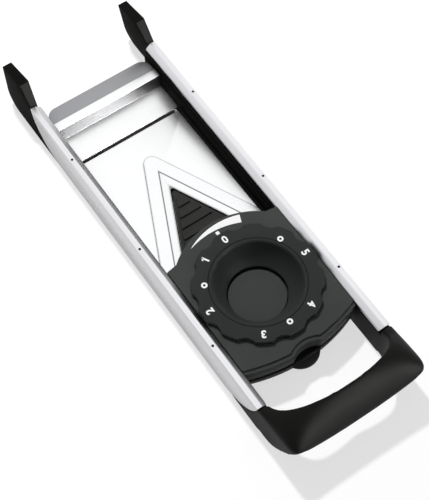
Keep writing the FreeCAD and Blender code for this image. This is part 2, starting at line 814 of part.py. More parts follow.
def make_dial():
    dial = dial_blank()
    for step in range(dial_lobes):
        angle = math.radians(90 + step_angle * (step + 0.5))
        reach = dial_lobe_radius - dial_notch_depth + dial_notch_radius
        scoop = post(dial_notch_radius, reach * math.cos(angle), reach * math.sin(angle),
                     dial_base - cut_margin, dial_top + cut_margin)
        dial = dial.cut(scoop)
    for step in range(dial_lobes):
        click = bar_x(detent_nub_radius + wall_gap, detent_radius - detent_leaf_width,
                      detent_radius + detent_leaf_width, 0, dial_base)
        click.rotate(vec(0, 0, 0), vec(0, 0, 1), step_angle * step)
        dial = dial.cut(click)
    seat_top = bridge_base - ring_clearance + wall_gap / 2
    seat_base = seat_top - ring_thickness - wall_gap
    dial = dial.cut(ring(hub_radius + cut_margin, hub_radius - ring_seat_depth, 0, 0, seat_base, seat_top))
    dial = dial.cut(cam_groove())
    dial.translate(vec(0, dial_y, 0))
    return dial


def make_retaining_ring():
    top = bridge_base - ring_clearance
    inner = hub_radius - ring_seat_depth + wall_gap / 2
    shape = ring(hub_radius + ring_reach, inner, 0, dial_y, top - ring_thickness, top)
    gap = box(0, far_margin, dial_y - ring_gap_width / 2, dial_y + ring_gap_width / 2, 0, far_margin)
    return shape.cut(gap)


def make_washer():
    inner = bridge_bore
    return ring(inner + washer_width, inner, 0, dial_y, bridge_top, bridge_top + washer_thickness)


def make_detent_leaf():
    """Thin leaf with a rounded nub that sits in a notch under the dial."""
    base = bridge_top - detent_pocket_depth
    leaf = detent_strip(0, base, base + detent_leaf_thickness)
    nub_half = detent_leaf_width / 2
    nub = bar_x(detent_nub_radius, -detent_radius - nub_half, -detent_radius + nub_half, dial_y, dial_base)
    neck = box(-detent_radius - nub_half, -detent_radius + nub_half, dial_y - detent_nub_radius,
               dial_y + detent_nub_radius, base, dial_base)
    leaf = leaf.fuse(nub).fuse(neck).removeSplitter()
    for x, y in rivet_places():
        leaf = leaf.cut(post(detent_rivet_radius + screw_hole_gap, x, y, base - cut_margin, bridge_top))
    return leaf


def make_detent_rivets():
    base = bridge_top - detent_pocket_depth
    head_z = base + detent_leaf_thickness
    rivets = []
    for x, y in rivet_places():
        shank = post(detent_rivet_radius, x, y, bridge_base, head_z)
        head = post(detent_rivet_head, x, y, head_z, head_z + detent_leaf_thickness)
        rivets.append(shank.fuse(head).removeSplitter())
    return rivets


def ramp_plan(z0, z1):
    """Plan of the ramp: V tip between the blade's edges, arc at the near end."""
    tip = v_prism(-ramp_edge_gap, dial_y, ramp_half, z0, z1, edge_tip_radius)
    body = near_curve(ramp_near_y, ramp_half, dial_y, z0, z1)
    return tip.fuse(body).removeSplitter()


def ramp_border():
    """Step along the V edges that leaves a thin margin around the raised panel."""
    z0 = ramp_base + ramp_border_skin
    whole = v_prism(0, dial_y, ramp_half, z0, ramp_top, edge_tip_radius)
    panel = v_prism(-ramp_edge_gap - ramp_border_width, dial_y, ramp_half, z0, ramp_top, edge_tip_radius)
    return whole.cut(panel)


def ramp_ribs():
    """Cross ribs on the back of the ramp's V tip."""
    ribs = []
    first_y = dial_y + bridge_arc_radius
    for step in range(ramp_rib_count):
        rib_y = first_y + step * ramp_rib_pitch
        panel_apex = v_edge_apex_y - (ramp_edge_gap + ramp_border_width) / v_sin
        rib_half = (panel_apex - rib_y - ramp_rib_wall) * v_tan
        ribs.append(box(-rib_half, rib_half, rib_y, rib_y + ramp_rib_wall, ramp_top,
                        ramp_top + ramp_rib_height))
    return ribs


def make_tab():
    """D-shaped thumb tab at the middle of the ramp's near edge."""
    z0 = ramp_base + ramp_skin
    tip_y = ramp_near_y - tab_reach
    root_y = ramp_near_y + ramp_rim_wall
    left = vec(-tab_half_width, ramp_near_y, z0)
    right = vec(tab_half_width, ramp_near_y, z0)
    right_root = vec(tab_half_width, root_y, z0)
    left_root = vec(-tab_half_width, root_y, z0)
    edges = [
        arc_segment(left, vec(0, tip_y, z0), right),
        line_segment(right, right_root),
        line_segment(right_root, left_root),
        line_segment(left_root, left),
    ]
    return extrude_edges(edges, vec(0, 0, tab_thickness))


def make_ramp():
    ramp = ramp_plan(ramp_base, ramp_top).cut(ramp_border())
    rim = near_curve(ramp_near_y, ramp_half, rear_guide_y, ramp_top, ramp_top + ramp_rim_height)
    rim = rim.cut(near_curve(ramp_near_y + ramp_rim_wall, ramp_half + cut_margin, rear_guide_y + cut_margin,
                             ramp_top, ramp_top + ramp_rim_height))
    collar_inner = hub_radius + collar_gap
    collar = ring(collar_inner + collar_wall, collar_inner, 0, dial_y, ramp_top, ramp_top + collar_height)
    pedestal = post(bowl_opening_radius - pedestal_gap, 0, dial_y, ramp_top, ramp_top + pedestal_height)
    for extra in ramp_ribs() + [rim, collar, pedestal, make_tab()]:
        ramp = ramp.fuse(extra)
    for x, y in guide_places():
        ramp = ramp.fuse(post(guide_boss_radius, x, y, ramp_top, ramp_top + guide_boss_height))
    ramp = ramp.removeSplitter()
    for x, y in guide_places():
        ramp = ramp.cut(post(guide_radius, x, y, ramp_top - ramp_skin / 2, far_margin))
    return ramp.cut(make_follower())


def make_follower():
    """Follower pin, pointing from the collar towards the dial's axis."""
    inner = hub_radius - groove_depth + follower_tip_gap
    outer = hub_radius + collar_gap + collar_wall
    return Part.makeCylinder(follower_radius, outer - inner, vec(0, dial_y - inner, follower_height),
                             vec(0, -1, 0))


def make_guide_pins():
    return [post(guide_radius, x, y, ramp_top - ramp_skin / 2, guide_top) for x, y in guide_places()]


def make_guide_bushes():
    bushes = []
    for x, y in guide_places():
        bushes.append(ring(guide_radius + bush_wall, guide_radius + guide_running_gap, x, y, bush_base,
                           bridge_base))
    return bushes


def make_bridge_screws():
    screws = []
    for screw_y in bridge_screw_ys:
        screws += both_sides(screw_x(bridge_screw_tip, screw_head_x, screw_y, bridge_screw_height))
    return screws


def make_end_screws():
    return both_sides(screw_x(end_screw_tip, screw_head_x, end_screw_y, end_screw_height))


def make_handle_screws():
    return both_sides(screw_x(tongue_x0, screw_head_x, handle_screw_y, handle_screw_z))


def group(solids):
    return Part.makeCompound(solids)


rail = make_rail()
beam = make_beam()
pins = pin_places(rail_pin_radius)
foot_pad = make_foot_pad()

nodes = {
    "right_rail": rail,
    "left_rail": mirrored(rail),
    "right_rail_pins": group(pins),
    "left_rail_pins": group([mirrored(pin) for pin in pins]),
    "right_beam": beam,
    "left_beam": mirrored(beam),
    "right_foot_pad": foot_pad,
    "left_foot_pad": mirrored(foot_pad),
    "handle_bow": make_handle(),
    "handle_screws": group(make_handle_screws()),
    "blade_plate": make_blade_plate(),
    "v_blade": make_v_blade(),
    "end_plate": make_end_plate(),
    "end_lip": make_end_lip(),
    "end_screws": group(make_end_screws()),
    "dial_bridge": make_bridge(),
    "bridge_screws": group(make_bridge_screws()),
    "thickness_dial": make_dial(),
    "retaining_ring": make_retaining_ring(),
    "dial_washer": make_washer(),
    "detent_leaf": make_detent_leaf(),
    "detent_rivets": group(make_detent_rivets()),
    "ramp": make_ramp(),
    "cam_follower": make_follower(),
    "guide_pins": group(make_guide_pins()),
    "guide_bushes": group(make_guide_bushes()),
}

for name, shape in nodes.items():
    shape.exportStep("parts/" + name + ".step")
    valid = all(solid.isValid() for solid in shape.Solids)
    print(name, len(shape.Solids), "solids", round(shape.Volume, 1), "mm3", "valid" if valid else "not valid")
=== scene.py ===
"""Looks of a mandoline slicer: rounded pieces, dial marks, finishes and a plain studio."""

import json
import math

import bpy
from mathutils import Matrix, Vector

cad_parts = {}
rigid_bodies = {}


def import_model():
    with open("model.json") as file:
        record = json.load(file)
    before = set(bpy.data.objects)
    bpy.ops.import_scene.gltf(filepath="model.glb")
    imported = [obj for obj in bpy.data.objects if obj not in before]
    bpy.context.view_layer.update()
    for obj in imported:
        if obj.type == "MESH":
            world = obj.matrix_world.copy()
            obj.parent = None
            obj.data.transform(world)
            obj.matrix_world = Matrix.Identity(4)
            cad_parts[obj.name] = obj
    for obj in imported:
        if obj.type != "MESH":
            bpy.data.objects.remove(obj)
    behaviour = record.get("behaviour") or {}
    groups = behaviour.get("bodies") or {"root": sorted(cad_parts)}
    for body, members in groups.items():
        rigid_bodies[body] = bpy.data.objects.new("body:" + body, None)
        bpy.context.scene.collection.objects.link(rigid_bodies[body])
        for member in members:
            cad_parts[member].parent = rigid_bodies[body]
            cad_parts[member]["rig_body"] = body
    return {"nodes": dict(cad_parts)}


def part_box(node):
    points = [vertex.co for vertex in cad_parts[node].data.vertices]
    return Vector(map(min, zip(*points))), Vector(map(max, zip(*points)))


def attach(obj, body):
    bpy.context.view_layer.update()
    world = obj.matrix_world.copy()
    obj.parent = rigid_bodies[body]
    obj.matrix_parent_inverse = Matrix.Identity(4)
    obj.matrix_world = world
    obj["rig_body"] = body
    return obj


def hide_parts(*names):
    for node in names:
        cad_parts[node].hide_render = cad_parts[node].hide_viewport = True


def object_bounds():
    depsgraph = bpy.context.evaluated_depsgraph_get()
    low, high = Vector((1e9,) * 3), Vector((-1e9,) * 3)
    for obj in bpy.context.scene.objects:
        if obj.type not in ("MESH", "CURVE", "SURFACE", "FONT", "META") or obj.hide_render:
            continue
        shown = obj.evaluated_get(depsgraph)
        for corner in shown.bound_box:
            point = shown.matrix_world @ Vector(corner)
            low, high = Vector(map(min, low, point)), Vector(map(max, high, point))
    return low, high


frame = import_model()
cad_low, cad_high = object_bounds()

bl_info = {
    "name": "Mandoline Slicer Looks",
    "version": (1, 0, 0),
    "blender": (4, 5, 0),
    "location": "View3D > Sidebar > Slicer",
    "description": "Rounds, marks and finishes the pieces of a mandoline slicer and sets up its studio",
    "category": "Object",
}

# Places read from the CAD frame, in metres
dial_low, dial_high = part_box("thickness_dial")
plate_low, plate_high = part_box("blade_plate")
end_plate_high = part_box("end_plate")[1]
DIAL_CENTRE = (dial_low + dial_high) / 2
DIAL_TOP = dial_high.z
BRIDGE_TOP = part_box("dial_bridge")[1].z
RAILS_NEAR_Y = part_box("right_rail")[0].y

# Reach within which corners of CAD triangles are one point
MERGE_REACH = 0.000004

# Angles between faces: still flat, a sharp edge, and the most that is shaded smooth
FLAT_ANGLE = math.radians(0.3)
SHARP_ANGLE = math.radians(30)
SMOOTH_ANGLE = math.radians(32)

# Length over which the handle's bow goes over into its arms
BOW_BLEND = 0.012

# Floor of the finger bowl, a raised disc of the ramp: its radius, and the height its faces lie above
BOWL_FLOOR_RADIUS = 0.0235
BOWL_FLOOR_LOW = 0.0120

# The V of the blade: half its angle, its cutting edges' apex, and the width of the ground bevel
V_HALF_ANGLE = math.radians(25.0)
V_APEX_Y = 0.047
BEVEL_WIDTH = 0.0067

# Painted dim reflection of the fold's upright: its share of the flat's brightness, and the length it blends
# over
FOLD_PAINTED_SHADE = 0.23
FOLD_BLEND = 0.0001

# Fine lines of painted shade: the radius of the turned groove's around the finger bowl, half the width of
# each, and the shares of the plain surface's brightness that the turned groove's and the bevel's have
TURNED_LINE_RADIUS = 0.0371
LINE_HALF_WIDTH = 0.0004
TURNED_LINE_PAINTED_SHADE = 0.25
BEVEL_LINE_PAINTED_SHADE = 0.2

# Marks on the dial, by their turn from the right-hand side, in degrees
DIGIT_TURNS = {"0": 90, "1": 120, "2": 180, "3": 240, "4": 300, "5": 0}
HALF_STEP_TURNS = (30, 150, 270)

# Upstroke of the numeral one: its slant, and the rest in shares of the numeral's height
FLAG_SLANT = math.radians(38)
FLAG_LENGTH = 0.42
FLAG_WIDTH = 0.17
FLAG_LEFT = 0.15
FLAG_RISE = 0.32

# Rounding of the index dot's corners as a share of its side, and the power that the sweep narrows by
DOT_CORNER = 0.2
SWEEP_TAPER = 1.3

# How densely the lines of metal lie along X, Y and Z, and the depth of drawn and of ground lines
ALONG_RAILS = (5200.0, 26.0, 5200.0)
ACROSS_RAILS = (30.0, 4200.0, 4200.0)
DRAWN_DEPTH = 0.000004
GROUND_DEPTH = 0.0000006

# Share of the fine lines' density that the broad streaks of metal have
STREAK_DENSITY = 0.11

# Ranges that masks are spread from: most of a noise, the patches of it that are rubbed, how a face agrees
# with its rounded self from flat to edge, and how open a place is from free to narrow corner
NOISE_MIDDLE = (0.3, 0.7)
RUBBED_PATCHES = (0.42, 0.62)
FLAT_TO_EDGE = (0.995, 0.93)
FREE_TO_CORNER = (0.85, 0.45)

# What a pattern group puts out
PATTERN_OUTPUTS = ("Height", "Roughness", "Variation")

# Painted shade in narrow corners: its reach, its strength and its share of the plain surface's brightness
PAINTED_SHADE_REACH = 0.0016
PAINTED_SHADE_AMOUNT = 0.85
PAINTED_SHADE_SHARE = 0.12

# Rubbed edges: their reach, their strength on metal, which also sets the blade's painted edge shade, and on
# plastic, and what plastic's colour there is raised by before it is multiplied
RUB_REACH = 0.0005
METAL_RUB_AND_SHADE = 0.8
PLASTIC_RUB = 0.25
PLASTIC_LIFT = 0.01
PLASTIC_PALE = 1.4

# The floor: its side, its gap under the slicer, and the width over which the plates' shade ends
FLOOR_SIDE = 8.0
FLOOR_GAP = 0.0003
FLOOR_SHADE_BLEND = 0.004

# Directions between which the room changes in reflections: away from the key light to towards it,
# left to right in front, and side to front
AWAY_TO_KEY = (-0.2, 0.95)
LEFT_TO_RIGHT = (-0.25, 0.5)
SIDE_TO_FRONT = (-0.60, -0.92)

# The floor's and the backdrop's own light
WHITE = (1.0, 1.0, 1.0)
BLACK = (0.0, 0.0, 0.0)


def length_property(label, description, default):
    """A length in metres that a user can change."""
    return bpy.props.FloatProperty(name=label, description=description, default=default, unit="LENGTH")


def angle_property(label, description, degrees):
    """An angle that a user can change, with its default given in degrees."""
    return bpy.props.FloatProperty(
        name=label, description=description, default=math.radians(degrees), subtype="ANGLE")


def strength_property(label, description, default):
    """A strength of light that a user can change, where 1 is white."""
    return bpy.props.FloatProperty(name=label, description=description, default=default)


def colour_property(label, description, default):
    """A colour that a user can change."""
    return bpy.props.FloatVectorProperty(
        name=label, description=description, default=default, size=3, min=0.0, max=1.0, subtype="COLOR")


def place_property(label, description, default):
    """A place in the frame that a user can change."""
    return bpy.props.FloatVectorProperty(
        name=label, description=description, default=default, size=3, subtype="TRANSLATION", unit="LENGTH")


class SlicerEdges(bpy.types.PropertyGroup):
    """How far the edges of each kind of piece are rounded."""

    rail: length_property("Rail edges", "Rounding of the drawn rails' edges", 0.0003)
    moulding: length_property("Moulding edges", "Rounding of the black beams and the foot pads", 0.0004)
    foot: length_property("Foot edges", "Rounding of the far feet's tips and soles", 0.0014)
    handle_voxel: length_property("Handle fineness", "Mesh size of the handle's smooth skin", 0.0008)
    arm_passes: bpy.props.IntProperty(
        name="Arm softness", description="Smoothing passes over the whole handle's skin", default=6)
    bow_passes: bpy.props.IntProperty(
        name="Bow softness", description="Further smoothing passes over the handle's bow", default=60)
    sheet: length_property("Sheet edges", "Rounding of the sheet metal's edges", 0.00018)
    bridge: length_property("Bridge edges", "Rounding of the bridge's edges", 0.0003)
    dial: length_property("Dial edges", "Rounding of the dial's lobes and rim", 0.00035)
    ramp: length_property("Ramp edges", "Rounding of the ramp's edges", 0.0002)


class SlicerMarks(bpy.types.PropertyGroup):
    """Sizes and places of the white marks."""

    digit_height: length_property("Digit height", "Height of the dial's numerals", 0.0064)
    digit_weight: length_property("Digit weight", "How much the numerals' strokes are thickened", 0.00022)
    digit_circle: length_property("Digit circle", "Radius on which the numerals stand", 0.0433)
    ring_circle: length_property("Ring circle", "Radius on which the half-step rings stand", 0.0399)
    ring_outer: length_property("Ring radius", "Outer radius of a half-step ring", 0.0024)
    ring_stroke: length_property("Ring stroke", "Width of a half-step ring's line", 0.0014)
    dot_side: length_property("Index dot", "Side of the index dot on the bridge", 0.0029)
    dot_circle: length_property("Index circle", "Radius on which the index dot lies", 0.0529)
    relief: length_property("Relief", "How far the marks stand above their surface", 0.00012)
    sweep_start: angle_property("Sweep start", "Turn at which the tapered sweep is widest", 68.0)
    sweep_end: angle_property("Sweep end", "Turn at which the tapered sweep ends in a point", 115.0)
    sweep_inner: length_property("Sweep inner radius", "Inner radius at the sweep's wide end", 0.0544)
    sweep_outer: length_property("Sweep outer radius", "Outer radius at the sweep's wide end", 0.0613)
    sweep_point: length_property("Sweep point radius", "Radius at which the sweep's point lies", 0.0584)


class SlicerFinishes(bpy.types.PropertyGroup):
    """Colours of the materials."""

    rail: colour_property("Rails", "Anodised aluminium of the rails", (0.53, 0.53, 0.545))
    lip: colour_property("End lip", "Matt aluminium of the end lip", (0.25, 0.252, 0.262))
    steel: colour_property("Plates", "Stainless steel of the plates", (0.630, 0.633, 0.637))
    blade: colour_property("Blade", "Ground steel of the V blade", (0.60, 0.604, 0.61))
    black: colour_property("Mouldings", "Black plastic of the handle and beams", (0.006, 0.006, 0.0056))
    rubber: colour_property("Foot pads", "Rubber of the foot pads", (0.027, 0.027, 0.025))
    charcoal: colour_property("Bridge", "Plastic of the bridge and the bowl's floor", (0.047, 0.051, 0.048))
    dial: colour_property("Dial", "Darker charcoal plastic of the dial", (0.025, 0.028, 0.026))
    ramp: colour_property("Ramp", "Dark plastic of the ramp", (0.026, 0.027, 0.025))
    mark: colour_property("Marks", "White print of the marks", (0.92, 0.92, 0.92))
    dark_steel: colour_property("Rail pins", "Blackened steel of the rail pins", (0.015, 0.015, 0.016))
    screw: colour_property("Fasteners", "Plain steel of screws and pins", (0.60, 0.61, 0.62))
    bush: colour_property("Bushes", "Pale slippery plastic", (0.72, 0.72, 0.69))
    floor: colour_property("Floor", "Pale floor", (0.40, 0.40, 0.40))


class SlicerStudio(bpy.types.PropertyGroup):
    """Camera and light."""

    camera_place: place_property("Camera place", "Where the camera stands", (-0.2795, -0.4416, 0.9203))
    azimuth: angle_property("Azimuth", "Turn of the camera about the vertical", -33.275)
    elevation: angle_property("Elevation", "How far the camera looks down", 61.068)
    roll: angle_property("Roll", "Turn of the camera about its own line of sight", -1.324)
    lens: bpy.props.FloatProperty(
        name="Lens", description="Focal length for a 36 mm sensor", default=97.14, unit="CAMERA")
    sky: strength_property("Sky", "Even light all round", 0.26)
    sky_dim: strength_property("Dim side", "Room in reflections, away from the key light", 0.72)
    sky_bright: strength_property("Bright side", "Room in reflections, towards the key light", 1.7)
    front_dim: strength_property("Front dim", "Room in reflections, in front on the left", 0.1)
    front_bright: strength_property("Front bright", "Room in reflections, in front on the right", 32.0)
    key_power: bpy.props.FloatProperty(
        name="Key light", description="Power of the soft lamp", default=20.0, unit="POWER")
    key_side: length_property("Key size", "Side of the soft lamp", 0.1)
    key_place: place_property("Key place", "Where the soft lamp hangs", (0.08, 0.67, 1.42))
    floor_glow: strength_property("Floor lift", "How far the floor is lifted where it is looked at", 0.65)


def make_active(piece):
    """Leave one object selected and active."""
    bpy.ops.object.select_all(action="DESELECT")
    piece.select_set(True)
    bpy.context.view_layer.objects.active = piece


def open_mesh(piece):
    """Open a piece for editing with all of it selected."""
    make_active(piece)
    bpy.ops.object.mode_set(mode="EDIT")
    bpy.ops.mesh.select_all(action="SELECT")


def close_mesh():
    """End the editing of the active piece."""
    bpy.ops.object.mode_set(mode="OBJECT")


def apply_modifier(piece, kind, **settings):
    """Add a modifier with its settings and apply it."""
    modifier = piece.modifiers.new(kind.lower(), kind)
    for name, value in settings.items():
        setattr(modifier, name, value)
    make_active(piece)
    bpy.ops.object.modifier_apply(modifier=modifier.name)


def material_named(builder):
    """A material, built the first time a piece asks for it."""
    return bpy.data.materials.get(builder.__name__) or builder(bpy.context.scene.slicer_finishes)


def give_finish(mesh, builder):
    """Give a mesh one material in place of what it has."""
    mesh.materials.clear()
    mesh.materials.append(material_named(builder))


def finish_node(node, builder):
    """Give a CAD node that stays in view its material."""
    give_finish(frame["nodes"][node].data, builder)


def skin_of(node):
    """A piece with a CAD node's shape, its triangles merged into one skin."""
    piece = bpy.data.objects.new(node + "_skin", frame["nodes"][node].data.copy())
    bpy.context.scene.collection.objects.link(piece)
    make_active(piece)
    bpy.ops.mesh.customdata_custom_splitnormals_clear()
    open_mesh(piece)
    bpy.ops.mesh.remove_doubles(threshold=MERGE_REACH)
    bpy.ops.mesh.dissolve_limited(angle_limit=FLAT_ANGLE)
    close_mesh()
    return piece


def finish_skin(piece, node, builder):
    """Finish a skin and let it stand for its CAD node, inside that node's box and on its body."""
    low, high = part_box(node)
    for vertex in piece.data.vertices:
        vertex.co = [min(max(place, least), most) for place, least, most in zip(vertex.co, low, high)]
    give_finish(piece.data, builder)
    make_active(piece)
    bpy.ops.object.shade_smooth_by_angle(angle=SMOOTH_ANGLE)
    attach(piece, frame["nodes"][node]["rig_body"])
    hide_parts(node)


def round_sharp_edges(piece, radius):
    """Round every sharp edge of a piece."""
    apply_modifier(piece, "BEVEL", width=radius, segments=3, limit_method="ANGLE", angle_limit=SHARP_ANGLE,
                   use_clamp_overlap=False)


def round_edges_beyond(piece, far_y, radius):
    """Round the sharp edges of a piece that lie wholly beyond a place along the rails."""
    mesh = piece.data
    make_active(piece)
    bpy.ops.object.mode_set(mode="EDIT")
    bpy.ops.mesh.select_mode(type="EDGE")
    bpy.ops.mesh.select_all(action="DESELECT")
    bpy.ops.mesh.edges_select_sharp(sharpness=SHARP_ANGLE)
    close_mesh()
    for edge in mesh.edges:
        ends = [mesh.vertices[index].co for index in edge.vertices]
        edge.select = edge.select and min(end.y for end in ends) > far_y
    bpy.ops.object.mode_set(mode="EDIT")
    bpy.ops.mesh.bevel(offset=radius, segments=4, affect="EDGES", clamp_overlap=True)
    close_mesh()


def rounded_skin(node, radius, builder):
    """A CAD node's shape with every sharp edge rounded, finished."""
    piece = skin_of(node)
    round_sharp_edges(piece, radius)
    finish_skin(piece, node, builder)
    return piece


def feed(tree, socket, value):
    """Link an output to a socket, or set the socket to a plain value."""
    if isinstance(value, bpy.types.NodeSocket):
        tree.links.new(value, socket)
    else:
        socket.default_value = value


def object_place(tree):
    """Place on the object, as a vector."""
    return tree.nodes.new("ShaderNodeTexCoord").outputs["Object"]


def axes_of(tree, vector):
    """Outputs with the X, Y and Z of a vector."""
    node = tree.nodes.new("ShaderNodeSeparateXYZ")
    tree.links.new(vector, node.inputs[0])
    return node.outputs


def noise(tree, vector, scale, detail):
    """Noise texture on a vector; the scale is a number or an output."""
    node = tree.nodes.new("ShaderNodeTexNoise")
    tree.links.new(vector, node.inputs["Vector"])
    feed(tree, node.inputs["Scale"], scale)
    node.inputs["Detail"].default_value = detail
    return node.outputs["Fac"]


def spread(tree, value, source, low=0.0, high=1.0):
    """Map a value from a source range to another one, whose ends are numbers or outputs."""
    node = tree.nodes.new("ShaderNodeMapRange")
    ends = {"Value": value, "From Min": source[0], "From Max": source[1], "To Min": low, "To Max": high}
    for label, end in ends.items():
        feed(tree, node.inputs[label], end)
    return node.outputs["Result"]


def math_node(tree, operation, first, second=0.0):
    """One step of arithmetic on two numbers or outputs."""
    node = tree.nodes.new("ShaderNodeMath")
    node.operation = operation
    feed(tree, node.inputs[0], first)
    feed(tree, node.inputs[1], second)
    return node.outputs["Value"]


def vector_math(tree, operation, first, second=(0.0, 0.0, 0.0)):
    """One step of arithmetic on two vectors or outputs, with a vector or a value as its result."""
    node = tree.nodes.new("ShaderNodeVectorMath")
    node.operation = operation
    feed(tree, node.inputs[0], first)
    feed(tree, node.inputs[1], second)
    return node.outputs["Value" if operation in ("DOT_PRODUCT", "LENGTH") else "Vector"]


def blend_colours(tree, mask, first, second):
    """Colour that goes from the first to the second with a mask; each is a colour or an output."""
    node = tree.nodes.new("ShaderNodeMix")
    node.data_type = "RGBA"
    tree.links.new(mask, node.inputs["Factor"])
    colour_sockets = [socket for socket in node.inputs if socket.type == "RGBA"]
    for socket, colour in zip(colour_sockets, (first, second)):
        feed(tree, socket, colour if isinstance(colour, bpy.types.NodeSocket) else (*colour, 1.0))
    return next(socket for socket in node.outputs if socket.type == "RGBA")


def shade(colour, factor):
    """A colour made darker or lighter."""
    return [min(1.0, channel * factor) for channel in colour]


def new_group(name, values, outputs, vectors=()):
    """Empty shader group with values and vectors to take in; gives the sockets of its two ends too."""
    tree = bpy.data.node_groups.new(name, "ShaderNodeTree")
    for label in vectors:
        tree.interface.new_socket(name=label, in_out="INPUT", socket_type="NodeSocketVector")
    for label in values:
        tree.interface.new_socket(name=label, in_out="INPUT", socket_type="NodeSocketFloat")
    for label in outputs:
        tree.interface.new_socket(name=label, in_out="OUTPUT", socket_type="NodeSocketFloat")
    return tree, tree.nodes.new("NodeGroupInput").outputs, tree.nodes.new("NodeGroupOutput").inputs


def end_pattern(tree, entry, leave, height, variation):
    """Give a pattern group its outputs, with a roughness that follows its slow variation."""
    roughness = spread(tree, variation, NOISE_MIDDLE, entry["Smooth"], entry["Rough"])
    for label, output in zip(PATTERN_OUTPUTS, (height, roughness, variation)):
        tree.links.new(output, leave[label])


def drawn_lines_group(name):
    """Fine parallel lines of drawn or brushed metal, with broader streaks."""
    tree, entry, leave = new_group(name, ("Smooth", "Rough"), PATTERN_OUTPUTS, vectors=("Stretch",))
    fine = vector_math(tree, "MULTIPLY", object_place(tree), entry["Stretch"])
    broad = vector_math(tree, "MULTIPLY", fine, (STREAK_DENSITY, STREAK_DENSITY, STREAK_DENSITY))
    height = noise(tree, fine, scale=1.0, detail=3.0)
    streak = noise(tree, broad, scale=1.0, detail=4.0)
    end_pattern(tree, entry, leave, height, streak)
    return tree


def moulded_grain_group(name):
    """Fine spark-eroded grain of moulded plastic, with a slow change of gloss."""
    tree, entry, leave = new_group(name, ("Grain", "Smooth", "Rough"), PATTERN_OUTPUTS)
    place = object_place(tree)
    height = noise(tree, place, scale=entry["Grain"], detail=2.0)
    cloud = noise(tree, place, scale=38.0, detail=4.0)
    end_pattern(tree, entry, leave, height, cloud)
    return tree


def edge_wear_and_shade_group(name):
    """Mask of edges, broken up by noise into patches that handling has rubbed; kept even, it lays painted
    shade along edges.
    """
    tree, entry, leave = new_group(name, ("Reach", "Amount", "Evenness"), ("Mask",))
    rounded = tree.nodes.new("ShaderNodeBevel")
    rounded.samples = 4
    tree.links.new(entry["Reach"], rounded.inputs["Radius"])
    surface = tree.nodes.new("ShaderNodeNewGeometry")
    agree = vector_math(tree, "DOT_PRODUCT", rounded.outputs["Normal"], surface.outputs["Normal"])
    edge = spread(tree, agree, FLAT_TO_EDGE)
    rubbing = noise(tree, object_place(tree), scale=160.0, detail=5.0)
    patches = spread(tree, rubbing, RUBBED_PATCHES, low=entry["Evenness"])
    mask = math_node(tree, "MULTIPLY", edge, patches)
    tree.links.new(math_node(tree, "MULTIPLY", mask, entry["Amount"]), leave["Mask"])
    return tree


def painted_corner_shade_group(name):
    """Mask of narrow corners that little light reaches, for painted shade."""
    tree, entry, leave = new_group(name, ("Reach", "Amount"), ("Mask",))
    open_sky = tree.nodes.new("ShaderNodeAmbientOcclusion")
    open_sky.samples = 8
    tree.links.new(entry["Reach"], open_sky.inputs["Distance"])
    corner = spread(tree, open_sky.outputs["AO"], FREE_TO_CORNER)
    tree.links.new(math_node(tree, "MULTIPLY", corner, entry["Amount"]), leave["Mask"])
    return tree


def place_group(tree, builder, **values):
    """Place a shared group with its own values, building it the first time; gives its outputs."""
    name = builder.__name__.removesuffix("_group")
    node = tree.nodes.new("ShaderNodeGroup")
    node.node_tree = bpy.data.node_groups.get(name) or builder(name)
    for label, value in values.items():
        node.inputs[label].default_value = value
    return node.outputs


def new_material(name):
    """Material with nodes; gives its node tree and its shader too."""
    material = bpy.data.materials.new(name)
    material.use_nodes = True
    return material, material.node_tree, material.node_tree.nodes["Principled BSDF"]


def textured_material(name, colour, contrast, bump, detail_group, detail, wear_and_shade_colour, wear_and_shade):
    """Material with a pattern group's colour, gloss and relief, edges toned by a wear and shade mask, and
    painted shade in narrow corners.
    """
    material, tree, shader = new_material(name)
    pattern = place_group(tree, detail_group, **detail)
    varied = spread(tree, pattern["Variation"], NOISE_MIDDLE)
    base = blend_colours(tree, varied, shade(colour, 1 - contrast), shade(colour, 1 + contrast))
    edge = place_group(tree, edge_wear_and_shade_group, **wear_and_shade)
    edged = blend_colours(tree, edge["Mask"], base, wear_and_shade_colour)
    # Painted shade: narrow corners that little light reaches are darkened in the colour
    corner = place_group(tree, painted_corner_shade_group, Reach=PAINTED_SHADE_REACH, Amount=PAINTED_SHADE_AMOUNT)
    dark = blend_colours(tree, corner["Mask"], edged, shade(colour, PAINTED_SHADE_SHARE))
    tree.links.new(dark, shader.inputs["Base Color"])
    tree.links.new(pattern["Roughness"], shader.inputs["Roughness"])
    relief = tree.nodes.new("ShaderNodeBump")
    relief.inputs["Strength"].default_value = 1.0
    relief.inputs["Distance"].default_value = bump
    tree.links.new(pattern["Height"], relief.inputs["Height"])
    tree.links.new(relief.outputs["Normal"], shader.inputs["Normal"])
    return material, shader


def metal(name, colour, stretch, smooth, rough, contrast=0.04, bump=DRAWN_DEPTH, edge_shade=1.15,
          edge_reach=RUB_REACH, evenness=0.0):
    """Drawn or brushed metal whose lines run along the least stretched axis."""
    lines = {"Stretch": stretch, "Smooth": smooth, "Rough": rough}
    wear_and_shade = {"Reach": edge_reach, "Amount": METAL_RUB_AND_SHADE, "Evenness": evenness}
    material, shader = textured_material(
        name, colour, contrast, bump, drawn_lines_group, lines, shade(colour, edge_shade), wear_and_shade)
    shader.inputs["Metallic"].default_value = 1.0
    return material


